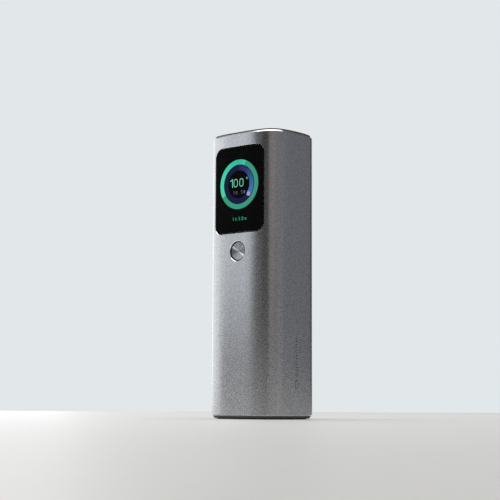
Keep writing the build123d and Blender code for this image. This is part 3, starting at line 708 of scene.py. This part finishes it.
def gauge():
    """The charge ring outside, the flow ring inside it, and a dot at the flow's end.

    Each ring is a pair of radii. Angles are degrees clockwise from the top.
    """
    outer = (10.6 * MM, 13.3 * MM)
    inner = (7.5 * MM, 10.2 * MM)
    lit_start, lit_end, gap = -119, 23, 0.6
    level = [(0.0, mint_deep), (0.1, mint), (0.80, mint), (1.0, mint_deep)]
    bm = bmesh.new()
    arc_band(bm, *outer, lit_start, lit_end)
    piece("gauge_level", bm, gradient_glow("gauge_level", level))
    rest = [(0.06, mint_dim), (0.35, srgb(66, 150, 130)), (0.64, srgb(50, 160, 125))]
    bm = bmesh.new()
    arc_band(bm, *outer, lit_end + gap, 360 + lit_start - gap)
    piece("gauge_rest", bm, gradient_glow("gauge_rest", rest))
    flow_end, flow_gap = 130, 4
    bm = bmesh.new()
    arc_band(bm, *inner, flow_end + flow_gap, 360)
    piece("gauge_track", bm, glowing("gauge_track", navy))
    violet, blue = srgb(62, 32, 96), srgb(44, 56, 118)
    flow = [(0.0, violet), (0.10, blue), (0.24, srgb(52, 108, 160)), (0.38, srgb(82, 128, 184))]
    bm = bmesh.new()
    arc_band(bm, *inner, 0, flow_end)
    piece("gauge_flow", bm, gradient_glow("gauge_flow", flow))
    middle, dot_radius = (inner[0] + inner[1]) / 2, 1.15 * MM
    dot_x = gauge_shift + middle * sin(radians(flow_end))
    dot_z = gauge_rise + middle * cos(radians(flow_end))
    dot = [(dot_x + dot_radius * cos(t), dot_z + dot_radius * sin(t)) for t in turn_steps(24)]
    bm = bmesh.new()
    flat_plate(bm, dot, lit_near - 0.02 * MM, lit_near - 0.005 * MM)
    piece("gauge_dot", bm, glowing("gauge_dot", srgb(165, 165, 215)))


gauge()
digits = glowing("digit_mint", srgb(110, 205, 170), 1.25)
reading("level_digits", "00", -0.16 * MM, 0.8 * MM, 4.05 * MM, 2.45 * MM, 4.05 * MM, 0.40 * MM, digits)
reading("level_one", "1", -4.9 * MM, 0.8 * MM, 1.0 * MM, 2.9 * MM, 4.2 * MM, 0.46 * MM, digits)
reading("percent_sign", "%", 5.7 * MM, 2.8 * MM, 1.0 * MM, 1.0 * MM, 1.2 * MM, 0.13 * MM, digits)
lavender = glowing("digit_lavender", srgb(120, 120, 180), 1.2)
reading("power_digits", "10.5W", 0.3 * MM, -4.4 * MM, 1.85 * MM, 0.85 * MM, 1.6 * MM, 0.13 * MM, lavender)
green = glowing("digit_green", srgb(50, 185, 125), 1.8)
reading("time_digits", "1h50m", 0.5 * MM, -18.5 * MM, 2.2 * MM, 0.85 * MM, 1.7 * MM, 0.12 * MM, green)


# ---------------------------------------------------------------- button
def make_button():
    """A dished disc turned on a lathe, with a bevelled rim."""
    radius = (cap_high.x - cap_low.x) / 2
    front, back = cap_low.y, cap_high.y
    dish, bevel, rim = 0.25 * MM, 0.22 * MM, 0.5 * MM
    bevel_steps, dish_steps = 4, 14
    profile = [(radius - 0.3 * MM, back), (radius, back - 0.1 * MM), (radius, front + bevel)]
    for i in range(1, bevel_steps + 1):
        a = pi / 2 * i / bevel_steps
        profile.append((radius - bevel * (1 - cos(a)), front + bevel * (1 - sin(a))))
    for i in range(dish_steps):
        share = 1 - i / dish_steps
        profile.append(((radius - rim) * share, front + dish * (1 - share**2)))
    bm = bmesh.new()
    rings = []
    for r, y in profile:
        rings.append([bm.verts.new((r * cos(a), y, button_z + r * sin(a))) for a in turn_steps(96)])
    skin(bm, rings)
    close_ring(bm, rings[0])
    centre = bm.verts.new((0, front + dish, button_z))
    last = rings[-1]
    for i, vertex in enumerate(last):
        bm.faces.new((vertex, last[(i + 1) % len(last)], centre))
    disc = piece("button_disc", bm, slots["button_metal"], "button", smooth=35)
    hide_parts("button_cap")


def make_spring():
    """The return spring, copied into a piece of its own that rides on the housing."""
    spring = bpy.data.objects.new("return_spring", nodes["button_spring"].data.copy())
    bpy.context.scene.collection.objects.link(spring)
    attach(spring, "housing")
    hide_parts("button_spring")
    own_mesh(spring)


make_button()
make_spring()


# ---------------------------------------------------------------- etched mark on the right side
def side_mark():
    """A generic battery pictogram with two rows of level bars, etched up the right side."""
    etch = Surface("etched_mark", (0.16, 0.16, 0.17), Metallic=0.85)
    grit = etch.noise(0.15 * MM, 3.0)
    etch.set("Base Color", etch.blend(grit, (0.12, 0.12, 0.125), (0.2, 0.2, 0.21)))
    etch.set("Roughness", etch.spread(grit, 0.45, 0.6))
    near, far = side_x + 0.012 * MM, side_x - 0.02 * MM
    middle_y, foot = -1.2 * MM, 16.0 * MM
    bm = bmesh.new()

    def bar(y_low, y_high, z_low, z_high):
        corners = ((y_low, z_low), (y_high, z_low), (y_high, z_high), (y_low, z_high))
        loops = [[bm.verts.new((x, middle_y + y, foot + z)) for y, z in corners] for x in (near, far)]
        skin(bm, loops)
        close_ring(bm, loops[0])
        close_ring(bm, loops[1])

    wide, tall, line = 2.0 * MM, 4.0 * MM, 0.32 * MM
    bar(-wide / 2, wide / 2, 0, line)
    bar(-wide / 2, wide / 2, tall - line, tall)
    bar(-wide / 2, -wide / 2 + line, line, tall - line)
    bar(wide / 2 - line, wide / 2, line, tall - line)
    bar(-0.45 * MM, 0.45 * MM, tall, tall + 0.5 * MM)
    long_start, long_pitch, long_line = 2.2 * MM, 1.5 * MM, 0.55 * MM
    for i in range(14):
        length = (1.5 if i % 4 else 1.9) * MM
        z = tall + long_start + long_pitch * i
        bar(-length / 2, length / 2, z, z + long_line)
    short_start, short_pitch, short_line = 14.6 * MM, 1.3 * MM, 0.4 * MM
    for i in range(6):
        z = tall + short_start + short_pitch * i
        bar(2.4 * MM, 3.2 * MM, z, z + short_line)
    piece("side_mark", bm, etch.material)


side_mark()


# ---------------------------------------------------------------- floor
def make_floor():
    """A pale, faintly mottled table top."""
    half_width, turn = 0.62, radians(41)
    bm = bmesh.new()
    bmesh.ops.create_grid(bm, x_segments=2, y_segments=2, size=half_width)
    mesh = bpy.data.meshes.new("floor")
    bm.to_mesh(mesh)
    bm.free()
    top = Surface("floor", (0.74, 0.74, 0.73))
    mottle = top.noise(9 * MM, 4.0)
    top.set("Base Color", top.blend(mottle, (0.72, 0.72, 0.71), (0.76, 0.76, 0.75)))
    top.set("Roughness", top.spread(mottle, 0.4, 0.5))
    mesh.materials.append(top.material)
    floor = bpy.data.objects.new("floor", mesh)
    floor.rotation_euler.z = turn
    bpy.context.scene.collection.objects.link(floor)


make_floor()
